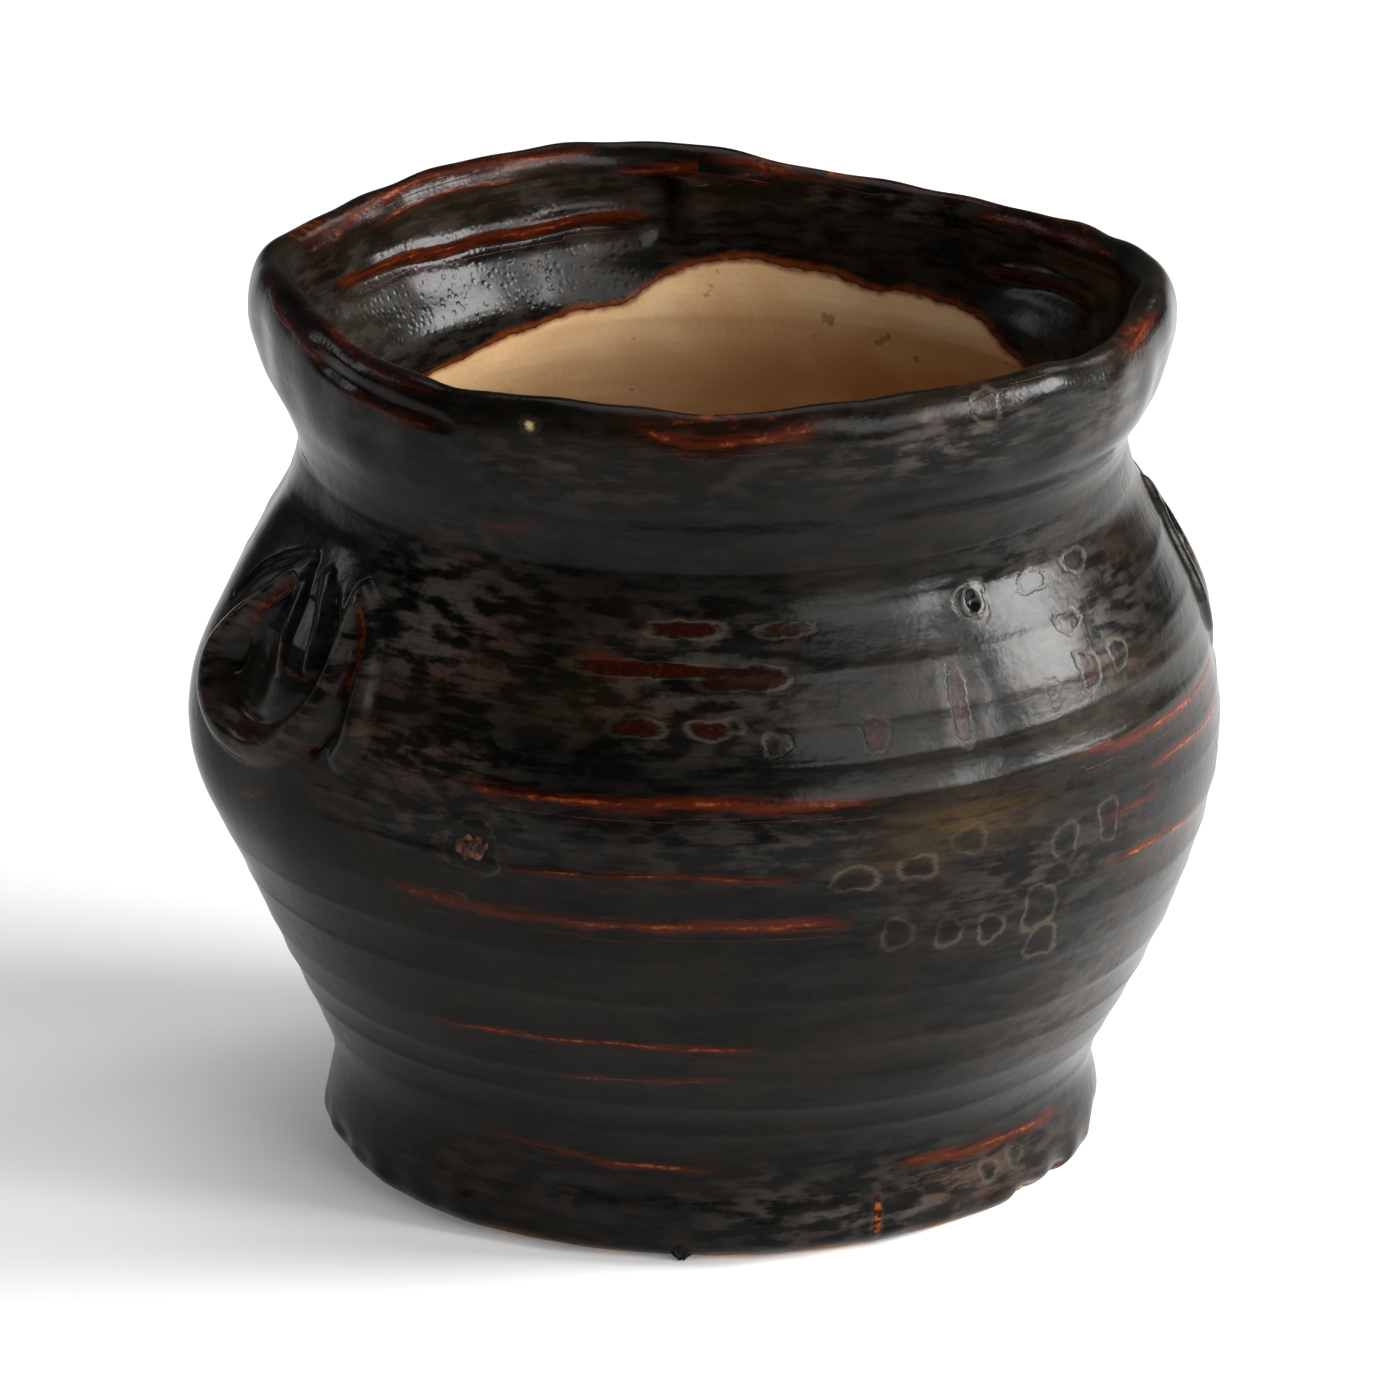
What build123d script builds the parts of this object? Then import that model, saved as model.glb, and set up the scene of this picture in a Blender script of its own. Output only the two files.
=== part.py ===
from build123d import *

import os
from math import cos, degrees, radians, sin, sqrt

# A small wheel-thrown stoneware pot with a pressed wavy rim and two looped lugs on its shoulder.
# Millimetres, +Z up. The origin is the middle of the foot, on the surface that the pot stands on.
# The front is -Y. An azimuth is 0 at the front and grows towards +X.

# Foot, belly and neck: the widest or narrowest places of the thrown body
foot_radius = 46.8
foot_height = 4.0
foot_draw_in = 3.4
waist_radius = 46.0
waist_height = 11.5
belly_radius = 60.1
belly_height = 55.0
neck_radius = 49.4
neck_height = 88.0

# Rim: mean radius and height of the lip, and how far the potter's fingers pressed it out of round
rim_radius = 53.6
rim_height = 108.4
rim_press = 2.0
rim_sway = 3.0
lip_outer_round = 2.8
lip_inner_round = 2.2
lip_outer_depth = 5.0
lip_inner_depth = 3.6

# Wall, measured level, and the floor inside
side_wall = 4.6
floor_thickness = 6.5
floor_radius = 27.0

# Lugs: a pad of clay that rises from just above the belly's widest place, round in plan and in height,
# with a thumbed dish and a coil folded over it
lug_azimuth = 85.0
lug_rise = 4.5
pad_half_height = 13.5
pad_sweep = 30.0
dish_rise = 4.0
dish_round = 9.0
dish_depth_share = 0.75
loop_below_neck = 8.0
loop_drop = 25.0
loop_half_width = 12.0
coil_radius = 1.7
left_stand = 3.0
right_stand = 1.4

# How much of the wall round a small piece is taken to cut it to the wall
cut_overrun = 3.0

# A crumb of clay that stuck to the belly, and a run of glaze that froze at the foot
crumb_length = 5.2
crumb_width = 4.0
crumb_stand = 1.5
crumb_azimuth = -50.7
crumb_height = 55.5
drop_length = 6.0
drop_width = 3.6
drop_stand = 0.9
drop_azimuth = -27.6

# How far along the way from one named place of the body to the next: share of height, share of radius
waist_to_belly_shares = [(0.11, 0.11), (0.29, 0.36), (0.52, 0.66), (0.77, 0.91)]
belly_to_neck_shares = [(0.27, 0.07), (0.52, 0.33), (0.73, 0.67), (0.88, 0.91)]
# From the flat base out to the widest place of the foot
foot_edge_shares = [(0.0, 0.0), (0.16, 0.45), (0.5, 0.88)]
# From the neck out to the widest place of the rim: share of the flare, share of the height
flare_shares = [(0.08, 0.15), (0.30, 0.30), (0.68, 0.50), (0.88, 0.70), (0.97, 0.85), (1.0, 1.0)]
# The cavity's rounded corner from the floor to the wall
floor_corner_shares = [(0.0, 0.0), (0.08, 0.45), (0.34, 0.82)]

# The pressed lip, once round: azimuth, share of the press outwards, share of the sway upwards
lip_shares = [
    (-173, -0.1, 0.40),
    (-158, -0.2, 0.40),
    (-141, 0.0, 0.10),
    (-122, 1.2, 0.13),
    (-107, 0.1, 0.33),
    (-91, -0.6, 0.20),
    (-78, -0.7, -0.20),
    (-64, -0.6, -0.27),
    (-43, -0.2, 0.13),
    (-23, 0.0, 0.0),
    (2, 0.0, 0.13),
    (22, 0.3, 0.0),
    (37, 0.5, -0.33),
    (55, 0.3, -0.33),
    (72, 0.9, -0.07),
    (89, 0.2, -0.50),
    (105, 0.0, -0.93),
    (119, -0.2, -1.20),
    (137, -0.8, -0.93),
    (157, -0.6, 0.0),
    (172, 0.35, 0.33),
]

# The coil's way over the lug: share of the half width towards the front, share of the drop, and how
# far the coil's middle stands off the lug as a share of its radius. It climbs the front edge, folds
# at the front tip, hangs in a loop, folds at the back tip and runs down into the wall.
coil_shares = [
    (1.40, -1.00, -1.6),
    (1.46, -0.62, 0.1),
    (1.40, -0.26, 0.1),
    (1.14, -0.02, 0.1),
    (0.86, -0.16, 0.2),
    (0.80, -0.48, 0.4),
    (0.50, -0.80, 0.4),
    (0.00, -0.99, 0.4),
    (-0.54, -1.03, 0.4),
    (-0.96, -0.84, 0.4),
    (-1.04, -0.54, 0.4),
    (-0.74, -0.22, 0.2),
    (-0.52, 0.02, 0.2),
    (-0.84, 0.12, 0.1),
    (-1.22, -0.14, 0.1),
    (-1.44, -0.56, 0.1),
    (-1.40, -1.00, -1.6),
]


def between(start, end, shares):
    """Heights and radii on the way from one named place to the next."""
    return [
        (start[0] + (end[0] - start[0]) * up, start[1] + (end[1] - start[1]) * out)
        for up, out in shares
    ]


lug_height = belly_height + lug_rise
foot_place = (foot_height, foot_radius)
waist_place = (waist_height, waist_radius)
belly_place = (belly_height, belly_radius)
neck_place = (neck_height, neck_radius)
outside_levels = [
    *between((0, foot_radius - foot_draw_in), foot_place, foot_edge_shares),
    foot_place,
    waist_place,
    *between(waist_place, belly_place, waist_to_belly_shares),
    belly_place,
    *between(belly_place, neck_place, belly_to_neck_shares),
    neck_place,
]


def wall_radius(height):
    """Outside radius of the thrown wall at a height."""
    for (low, low_radius), (high, high_radius) in zip(outside_levels, outside_levels[1:]):
        if height <= high:
            break
    return low_radius + (high_radius - low_radius) * (height - low) / (high - low)


def ring(points):
    """A smooth closed wire through one point for each row of the lip."""
    first = lip_shares[0][0]
    turns = [(azimuth - first) / 360 for azimuth, press, sway in lip_shares]
    return Wire([Edge.make_spline(points, periodic=True, parameters=[*turns, 1])])


def at(azimuth, radius, height):
    """The point at an azimuth, a radius and a height."""
    return Vector(radius * sin(radians(azimuth)), -radius * cos(radians(azimuth)), height)


def thrown_ring(height, radius):
    """A round level of the thrown body."""
    return ring([at(azimuth, radius, height) for azimuth, press, sway in lip_shares])


def pressed_ring(flare, rise, inset, drop, throat_radius):
    """A level of the rim, from the round neck at 0 to the full lobes of the lip at 1."""
    points = []
    for azimuth, press, sway in lip_shares:
        reach = rim_radius + rim_press * press - inset
        top = rim_height + rim_sway * sway - drop
        radius = throat_radius + (reach - throat_radius) * flare
        points.append(at(azimuth, radius, neck_height + (top - neck_height) * rise))
    return ring(points)


def make_pot():
    """The thrown body: up the outside, over the lip and down the inside to the floor."""
    rings = [thrown_ring(height, radius) for height, radius in outside_levels]
    rings += [pressed_ring(flare, rise, 0, lip_outer_depth, neck_radius) for flare, rise in flare_shares]
    for turn in (30, 60, 90):
        inset = lip_outer_round * (1 - cos(radians(turn)))
        drop = lip_outer_depth * (1 - sin(radians(turn)))
        rings.append(pressed_ring(1, 1, inset, drop, neck_radius))
    lip_thickness = lip_outer_round + lip_inner_round
    for turn in (45, 90):
        inset = lip_outer_round + lip_inner_round * sin(radians(turn))
        drop = lip_inner_depth * (1 - cos(radians(turn)))
        rings.append(pressed_ring(1, 1, inset, drop, neck_radius))
    throat_radius = neck_radius - side_wall
    for flare, rise in reversed(flare_shares[:-1]):
        rings.append(pressed_ring(flare, rise, lip_thickness, lip_inner_depth, throat_radius))
    inside = [(height, radius - side_wall) for height, radius in outside_levels if height > waist_height]
    rings += [thrown_ring(height, radius) for height, radius in reversed(inside)]
    corner = between((floor_thickness, floor_radius), inside[0], floor_corner_shares)
    rings += [thrown_ring(height, radius) for height, radius in reversed(corner)]
    return Solid.make_loft(rings)


def ellipsoid(half_width, half_height, half_depth, azimuth, radius, height):
    """An egg of clay that faces outwards at an azimuth."""
    egg = scale(Sphere(1), by=(half_width, half_depth, half_height))
    return Pos(*at(azimuth, radius, height)) * Rot(0, 0, azimuth) * egg


def pad_middle(stand):
    """How far the pad's own upright axis is from the pot's, where the pad stands off the wall."""
    return wall_radius(lug_height) + stand - pad_sweep


def lug_surface(away, height, stand):
    """Radius of the lug, or of the bare wall past its edge, at an angle from the lug's middle."""
    edge_round = (pad_sweep**2 + pad_half_height**2) / (2 * pad_sweep)
    up = min(abs(height - lug_height), edge_round)
    reach = pad_sweep - edge_round + sqrt(edge_round**2 - up**2)
    sideways = min(abs(pad_middle(stand) * sin(away)), reach)
    pad_radius = pad_middle(stand) * cos(away) + sqrt(reach**2 - sideways**2)
    return max(wall_radius(height), pad_radius)


def lug_point(side, across, height, stand, lift):
    """A point over the lug: across is measured along the belly from the lug's middle to its front."""
    away = across / belly_radius
    return at(side * (lug_azimuth - degrees(away)), lug_surface(away, height, stand) + lift, height)


def make_core():
    """The space inside the middle of the wall, which nothing on the outside reaches."""
    middle = [(radius - side_wall / 2, height) for height, radius in outside_levels]
    outline = Polyline((0, 0), *middle, (0, neck_height), close=True)
    return revolve(Plane.XZ * make_face(outline), Axis.Z)


def make_pad(side, stand):
    """The pad: one clay disc that swells from the wall, with a thumbed dish."""
    azimuth = side * lug_azimuth
    edge = ThreePointArc((0, -pad_half_height), (pad_sweep, 0), (0, pad_half_height))
    profile = make_face(edge + Line((0, pad_half_height), (0, -pad_half_height)))
    pad = Pos(*at(azimuth, pad_middle(stand), lug_height)) * revolve(Plane.XZ * profile, Axis.Z)
    dish_height = lug_height + dish_rise
    pad_surface = lug_surface(0, dish_height, stand)
    dish_depth = dish_depth_share * (pad_surface - wall_radius(dish_height))
    dish = Sphere(dish_round)
    return pad - Pos(*at(azimuth, pad_surface - dish_depth + dish_round, dish_height)) * dish


def make_coil(side, stand):
    """The coil: a round string of clay, bent by hand from run to run."""
    loop_top = neck_height - loop_below_neck
    way = [
        lug_point(side, across * loop_half_width, loop_top + down * loop_drop, stand, lift * coil_radius)
        for across, down, lift in coil_shares
    ]
    section = Plane(way[0], z_dir=way[1] - way[0]) * Circle(coil_radius)
    return sweep(section, path=Polyline(*way), transition=Transition.RIGHT)


def make_crumb():
    """The crumb: a small flattened pebble of clay."""
    centre = wall_radius(crumb_height) + crumb_stand - crumb_width / 2
    return ellipsoid(
        crumb_length / 2, crumb_width / 2, crumb_width / 2, crumb_azimuth, centre, crumb_height
    )


def make_drop():
    """The drop: a bead of glaze that runs down to the foot's edge."""
    centre = foot_radius + drop_stand - drop_width / 2
    bead = ellipsoid(drop_width / 2, drop_length / 2, drop_width / 2, drop_azimuth, centre, foot_height)
    return split(bead, bisect_by=Plane.XY, keep=Keep.TOP)


def off_wall(piece):
    """The piece without what would lie inside the wall next to it."""
    box = piece.bounding_box()
    near = Box(box.size.X + cut_overrun, box.size.Y + cut_overrun, box.size.Z + cut_overrun)
    return piece - (pot & Pos(*box.center()) * near)


def save(name, shape):
    """Writes one piece under its own name."""
    shape.label = name
    export_step(shape, f"parts/{name}.step")
    print(name, "volume", round(shape.volume, 1), "valid", shape.is_valid)


os.makedirs("parts", exist_ok=True)
pot = make_pot()
core = make_core()
save("pot_body", pot)
for name, side, stand in (("left", -1, left_stand), ("right", 1, right_stand)):
    pad = off_wall(make_pad(side, stand) - core)
    save(f"{name}_lug_pad", pad)
    save(f"{name}_lug_coil", off_wall(make_coil(side, stand) - pad))
save("clay_crumb", off_wall(make_crumb()))
save("glaze_drop", off_wall(make_drop()))
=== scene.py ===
import math

import bpy
import mathutils
import numpy as np
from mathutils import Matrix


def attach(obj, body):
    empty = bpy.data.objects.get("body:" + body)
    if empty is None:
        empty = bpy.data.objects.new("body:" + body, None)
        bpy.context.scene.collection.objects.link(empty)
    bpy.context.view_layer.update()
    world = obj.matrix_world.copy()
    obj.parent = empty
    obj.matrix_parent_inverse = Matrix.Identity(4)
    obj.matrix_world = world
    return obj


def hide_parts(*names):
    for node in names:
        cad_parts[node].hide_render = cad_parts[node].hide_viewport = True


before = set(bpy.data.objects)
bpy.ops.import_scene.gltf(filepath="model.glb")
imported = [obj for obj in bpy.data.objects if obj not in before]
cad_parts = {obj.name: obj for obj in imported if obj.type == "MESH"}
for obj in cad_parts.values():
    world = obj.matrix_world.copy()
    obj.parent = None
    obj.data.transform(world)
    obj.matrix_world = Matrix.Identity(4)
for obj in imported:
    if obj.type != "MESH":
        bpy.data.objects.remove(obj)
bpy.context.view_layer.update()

# A small stoneware pot: a thrown body under a dark iron glaze that breaks to rust on every edge, a rim
# pressed into lobes, bare buff clay inside and two looped lugs. Sizes are millimetres until a mesh is made.
MM = 0.001

# Directions are azimuths seen from above: 0 towards the camera, growing to the camera's right.
CAMERA_AZIMUTH = -23.0

# The thrown body
FOOT_RADIUS, FOOT_HEIGHT, FOOT_DRAW_IN = 46.8, 4.0, 3.4
WAIST_RADIUS, WAIST_HEIGHT = 46.0, 11.5
BELLY_RADIUS, BELLY_HEIGHT = 60.1, 55.0
NECK_RADIUS, NECK_HEIGHT = 49.4, 88.0
RIM_RADIUS, RIM_HEIGHT, RIM_PRESS, RIM_SWAY = 53.6, 108.4, 2.0, 3.0
LIP_OUTER_ROUND, LIP_INNER_ROUND, LIP_OUTER_DEPTH, LIP_INNER_DEPTH = 2.8, 2.2, 5.0, 3.6
SIDE_WALL, FLOOR_THICKNESS, FLOOR_RADIUS = 4.6, 6.5, 27.0

WAIST_TO_BELLY_SHARES = [(0.11, 0.11), (0.29, 0.36), (0.52, 0.66), (0.77, 0.91)]
BELLY_TO_NECK_SHARES = [(0.27, 0.07), (0.52, 0.33), (0.73, 0.67), (0.88, 0.91)]
FOOT_EDGE_SHARES = [(0, 0), (0.16, 0.45), (0.5, 0.88)]
FLARE_SHARES = [(0, 0), (0.15, 0.08), (0.3, 0.3), (0.5, 0.68), (0.7, 0.88), (0.85, 0.97), (1, 1)]
FLOOR_CORNER_SHARES = [(0, 0), (0.08, 0.45), (0.34, 0.82)]
# The pressed lip, once round from the CAD's front: azimuth, share of the press, share of the sway
LIP_SHARES = [
    (-173, -0.1, 0.4), (-158, -0.2, 0.4), (-141, 0, 0.1), (-122, 1.2, 0.13), (-107, 0.1, 0.33), (-91, -0.6, 0.2),
    (-78, -0.7, -0.2), (-64, -0.6, -0.27), (-43, -0.2, 0.13), (-23, 0, 0), (2, 0, 0.13), (22, 0.3, 0), (37, 0.5, -0.33),
    (55, 0.3, -0.33), (72, 0.9, -0.07), (89, 0.2, -0.5), (105, 0, -0.84), (119, -0.2, -0.98), (137, -0.8, -0.76),
    (157, -0.6, 0), (172, 0.35, 0.33),
]

# How fine the meshes are
COLUMNS = 900
OUTSIDE_STEP, INSIDE_STEP = 0.44, 0.7
RIM_ROWS, LIP_ROWS = 42, 14
WALL_SAMPLES, INNER_SAMPLES = 1200, 900
PEBBLE_COLUMNS, PEBBLE_ROWS = 96, 49
# The radius at which the floor's rows end round its middle point
FLOOR_HOLE = 0.6


def smooth_through(places, values, wanted):
    """A smooth curve through the values at their places, read where it is wanted."""
    places, values = np.asarray(places, float), np.asarray(values, float)
    slopes = np.gradient(values, places)
    i = np.clip(np.searchsorted(places, wanted) - 1, 0, len(places) - 2)
    step = places[i + 1] - places[i]
    t = np.clip((wanted - places[i]) / step, 0, 1)
    first = (1 + 2 * t) * (1 - t) ** 2 * values[i] + t * (1 - t) ** 2 * step * slopes[i]
    second = t**2 * (3 - 2 * t) * values[i + 1] + t**2 * (t - 1) * step * slopes[i + 1]
    return first + second


def smooth_round(places, values, wanted):
    """The same for a closed table of azimuths in degrees."""
    around = [place + turn for turn in (-360, 0, 360) for place in places]
    return smooth_through(around, list(values) * 3, wanted)


def between(start, end, shares):
    """Heights and radii on the way from one named place to the next."""
    return [(start[0] + (end[0] - start[0]) * up, start[1] + (end[1] - start[1]) * out) for up, out in shares]


FOOT_PLACE, WAIST_PLACE = (FOOT_HEIGHT, FOOT_RADIUS), (WAIST_HEIGHT, WAIST_RADIUS)
BELLY_PLACE, NECK_PLACE = (BELLY_HEIGHT, BELLY_RADIUS), (NECK_HEIGHT, NECK_RADIUS)
LEVELS = [
    *between((0, FOOT_RADIUS - FOOT_DRAW_IN), FOOT_PLACE, FOOT_EDGE_SHARES), FOOT_PLACE, WAIST_PLACE,
    *between(WAIST_PLACE, BELLY_PLACE, WAIST_TO_BELLY_SHARES), BELLY_PLACE,
    *between(BELLY_PLACE, NECK_PLACE, BELLY_TO_NECK_SHARES), NECK_PLACE,
]


def wall_radius(height):
    """Outside radius of the thrown wall."""
    return smooth_through(*zip(*LEVELS), height)


def evenly(heights, radii, step):
    """The same profile with points about a step apart along it."""
    along = np.concatenate([[0], np.cumsum(np.hypot(np.diff(heights), np.diff(radii)))])
    wanted = np.linspace(0, along[-1], max(2, round(along[-1] / step) + 1))
    return np.interp(wanted, along, heights), np.interp(wanted, along, radii)


def lip_curves(azimuth):
    """Reach and height of the lip at CAD azimuths."""
    places, presses, sways = zip(*LIP_SHARES)
    reach = RIM_RADIUS + RIM_PRESS * smooth_round(places, presses, azimuth)
    return reach, RIM_HEIGHT + RIM_SWAY * smooth_round(places, sways, azimuth)


def rim_rows(azimuth, rises, flares, inset, drop, throat):
    """Radii and heights of rim levels from the round neck to the full lobes."""
    reach, top = lip_curves(azimuth)
    inset, drop = np.reshape(inset, (-1, 1)), np.reshape(drop, (-1, 1))
    radius = throat + (reach - inset - throat) * flares[:, None]
    return radius, NECK_HEIGHT + (top - drop - NECK_HEIGHT) * rises[:, None]


def body_grid():
    """Radii and heights of the whole thrown body, and the first row of each stretch."""
    azimuth = np.arange(COLUMNS) * 360 / COLUMNS - 180
    dense = np.linspace(0, NECK_HEIGHT, WALL_SAMPLES)
    heights, radii = evenly(dense, wall_radius(dense), OUTSIDE_STEP)
    rise = np.linspace(0, 1, RIM_ROWS + 1)[1:]
    flare = smooth_through(*zip(*FLARE_SHARES), rise)
    turn, full = np.radians(np.linspace(0, 90, LIP_ROWS + 1)[1:]), np.ones(LIP_ROWS)
    rows = [
        (np.repeat(radii[:, None], COLUMNS, 1), np.repeat(heights[:, None], COLUMNS, 1)),
        rim_rows(azimuth, rise, flare, 0, LIP_OUTER_DEPTH, NECK_RADIUS),
        rim_rows(azimuth, full, full, LIP_OUTER_ROUND * (1 - np.cos(turn)), LIP_OUTER_DEPTH * (1 - np.sin(turn)),
                 NECK_RADIUS),
        rim_rows(azimuth, full, full, LIP_OUTER_ROUND + LIP_INNER_ROUND * np.sin(turn),
                 LIP_INNER_DEPTH * (1 - np.cos(turn)), NECK_RADIUS),
        rim_rows(azimuth, rise[::-1][1:], flare[::-1][1:], LIP_OUTER_ROUND + LIP_INNER_ROUND, LIP_INNER_DEPTH,
                 NECK_RADIUS - SIDE_WALL),
    ]
    starts = {"rim": len(heights), "collar": len(heights) + RIM_ROWS + 2 * LIP_ROWS}
    starts["inside"] = starts["collar"] + RIM_ROWS - 1
    corner_top = between(WAIST_PLACE, BELLY_PLACE, WAIST_TO_BELLY_SHARES)[0]
    corner_end = (corner_top[0], corner_top[1] - SIDE_WALL)
    corner_z, corner_r = zip(*between((FLOOR_THICKNESS, FLOOR_RADIUS), corner_end, FLOOR_CORNER_SHARES)[::-1])
    down = np.linspace(NECK_HEIGHT, corner_top[0], INNER_SAMPLES)
    inner_z = np.concatenate([down, corner_z, [FLOOR_THICKNESS]])
    inner_r = np.concatenate([wall_radius(down) - SIDE_WALL, corner_r, [FLOOR_HOLE]])
    inner_z, inner_r = evenly(inner_z, inner_r, INSIDE_STEP)
    rows.append((np.repeat(inner_r[:, None], COLUMNS, 1), np.repeat(inner_z[:, None], COLUMNS, 1)))
    radius, height = (np.concatenate(stretches) for stretches in zip(*rows))
    return azimuth, radius, height, starts


# Relief of the outside: crests left between the fingers' grooves, as heights, and the grooves' depth
CRESTS = [12.3, 17, 21.5, 26, 31, 37.5, 43, 48.2, 54.2, 58.3, 62.8, 67, 71.5, 77.5, 84]
GROOVE_DEPTH = 0.2
# Slow dents and swellings of the wall: azimuth from the camera, height, half width and half height in mm, depth
DENTS = [
    (28.5, 72, 2.2, 9, 0.1), (33.5, 71, 2.6, 8, -0.12), (45, 78, 8, 4, 0.12), (55, 71, 5, 6, -0.12),
    (13, 73, 8, 5, -0.12), (-12, 68, 9, 5, 0.1), (-30, 74, 7, 7, -0.12), (5, 56, 12, 3, 0.1), (30, 57, 9, 3.5, -0.12),
    (20, 42, 10, 5, 0.12), (-20, 36, 12, 6, -0.1), (46, 36, 8, 7, 0.12), (150, 74, 10, 7, 0.15), (175, 62, 9, 6, -0.15),
    (210, 72, 11, 6, -0.14), (236, 60, 9, 8, 0.14), (130, 44, 12, 6, -0.12), (190, 34, 10, 8, 0.12),
    (-110, 46, 10, 7, -0.12),
]
# Single features: where they are, in azimuth from the camera and height, how wide, and how deep or tall
FOLD_AZIMUTH, FOLD_PIVOT, FOLD_HEIGHT, FOLD_LEAN, FOLD_REACH, FOLD_DEPTH = -50, -48, 104.6, 0.05, 17, 0.55
CREASE_AZIMUTH, CREASE_HALF_TURN, CREASE_DEPTH = -172.5, 2.6, 0.9
CORNER_AZIMUTH, CORNER_HALF_TURN, CORNER_STAND = -177, 3.4, 0.8
ROLL_AZIMUTH, ROLL_HEIGHT, ROLL_HALF_HEIGHT, ROLL_REACH, ROLL_FADE, ROLL_STAND = -118, 90.5, 6.0, 40, 26, 1.15
BUBBLE_AZIMUTH, BUBBLE_HEIGHT, BUBBLE_WALL_RADIUS, BUBBLE_RING, BUBBLE_PIT = 36.3, 81.8, 51.5, 0.2, 0.28
CHIPS_AZIMUTH, CHIPS_HALF_TURN, CHIPS_DEPTH = 66, 26, 1.3
LAP_STAND, LAP_GROOVE = 0.5, 0.75
FULLER_HEIGHT, FULLER_HALF_HEIGHT, FULLER_STAND, FULLER_LEAN = 38, 22, 1.1, 0.8
PIMPLES_AZIMUTH, PIMPLES_HALF_TURN, PIMPLES_ON_LIP = -142, 46, 0.5
TRIM_DEPTH, TRIM_SPACING = 0.12, 1.3

# Rust lines where the glaze runs thin: (azimuth from the camera, height) points, strength, half width
OUTER_LINES = [
    ([(-31, 63), (-17, 62.9), (0, 62.9), (20, 62.5)], 1, 0.75), ([(44, 62.5), (60, 62), (86, 61.4)], 0.9, 0.7),
    ([(56, 57.3), (70, 57.6), (88, 57)], 0.8, 0.6), ([(47, 54.4), (62, 54)], 0.6, 0.5),
    ([(-25, 53.7), (-3, 54.5), (11, 54.1)], 0.65, 0.5), ([(-41, 48.5), (-27, 48), (-10, 48.4), (17, 48)], 1, 0.75),
    ([(48, 48.3), (66, 48), (90, 47.2)], 0.7, 0.6), ([(-39, 30.8), (-11, 31.2), (7, 31.2)], 0.8, 0.5),
    ([(-23, 25.7), (4, 26.4)], 0.65, 0.45), ([(-36, 14), (-16, 12.6), (2, 11.8)], 0.85, 0.6),
    ([(27, 10.9), (49, 9.6), (66, 9.4)], 0.9, 0.7), ([(-34, 91.2), (-22, 92.9)], 0.6, 0.5),
    ([(-20, 78.6), (-8, 78.1)], 0.6, 0.5),
    ([(-11.5, 107.3), (-6, 105.9), (-1, 105.1), (7, 105.5), (15, 106.9)], 1, 0.9),
    ([(-58, 103.6), (-46, 103), (-36, 103.4)], 0.7, 0.6), ([(-92, 56), (-118, 57.2), (-150, 57.8)], 0.8, 0.6),
    ([(112, 62.2), (150, 62.9), (190, 63.3), (212, 62.6)], 0.9, 0.7), ([(102, 48), (140, 48.4), (176, 48.6)], 0.8, 0.6),
    ([(188, 53.9), (222, 54.4), (248, 53.8)], 0.7, 0.5), ([(120, 31), (158, 30.6), (205, 31.3)], 0.7, 0.5),
    ([(216, 26.2), (262, 25.6)], 0.7, 0.5), ([(96, 12), (140, 12.6), (170, 12.1)], 0.8, 0.6),
    ([(205, 43.2), (250, 42.6), (281, 43.4)], 0.8, 0.6), ([(140, 71.2), (172, 71.8)], 0.7, 0.6),
    ([(130, 105.8), (160, 106.6), (196, 105.9)], 0.8, 0.8),
]
INNER_LINES = [
    ([(-172, 100.2), (-157, 100), (-134, 100.3), (-111, 100.7)], 1, 0.8),
    ([(108, 99.5), (124, 98.5), (138, 97.5)], 0.9, 0.6), ([(-30, 100), (5, 99.2), (38, 99.8)], 0.8, 0.6),
]
# Marks in the glaze: azimuth, height, half width and half height in mm, and kind: 0 is a bare ring, 1 has a dark
# red core, 2 an orange one, 3 is bare clay, and shares between them are mixtures
OUTER_MARKS = [
    (-7.5, 77.5, 8.6, 0.8, 1.15), (4.5, 76.7, 5, 1.2, 0.6), (-4, 81.8, 4.2, 0.8, 0.8), (9.5, 81.6, 3, 0.7, 0.6),
    (-8.8, 71.4, 2.9, 0.9, 0.8), (-0.2, 71.3, 2.2, 0.85, 0.8), (36.3, 81.8, 1.9, 1.7, 0), (30.6, 72, 1.2, 3.9, 0.7),
    (36.6, 106.2, 1.5, 1.6, 0.6), (47.4, 82.2, 1.8, 1, 0), (56.6, 82.2, 2, 1.1, 0), (51.4, 71.3, 1.5, 1.7, 0.8),
    (50.6, 76.8, 1.8, 1, 0.5), (19.5, 70, 1.5, 1.7, 0.8), (7.5, 69.6, 1.2, 1, 0.4), (44.5, 70, 0.8, 1.5, 0.6),
    (57.5, 71.5, 1.5, 1.3, 0), (39.8, 45.8, 2.1, 2.4, 0), (41, 41, 1.9, 1.8, 0), (21, 46, 1.6, 1.6, 0),
    (27.5, 45.2, 1.4, 1.6, 0), (33, 44.6, 1.5, 1.5, 0), (16, 53.5, 2.4, 1.2, 0), (23.5, 54, 2, 1.1, 0),
    (30, 56.2, 2, 1.5, 0), (43, 53, 1.7, 2, 0), (50, 54, 1.4, 2.2, 0), (-23.8, 105.8, 0.9, 0.7, 3),
    (24.8, 4.9, 0.55, 3, 2), (45, 6.8, 1.3, 1.2, 0), (51, 7.4, 1.3, 1.1, 0), (2.5, 71.8, 0.9, 0.6, 0),
    (-27.7, 55.6, 3.2, 2.9, 0), (-31, 48.6, 2, 0.7, 1),
]
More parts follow.
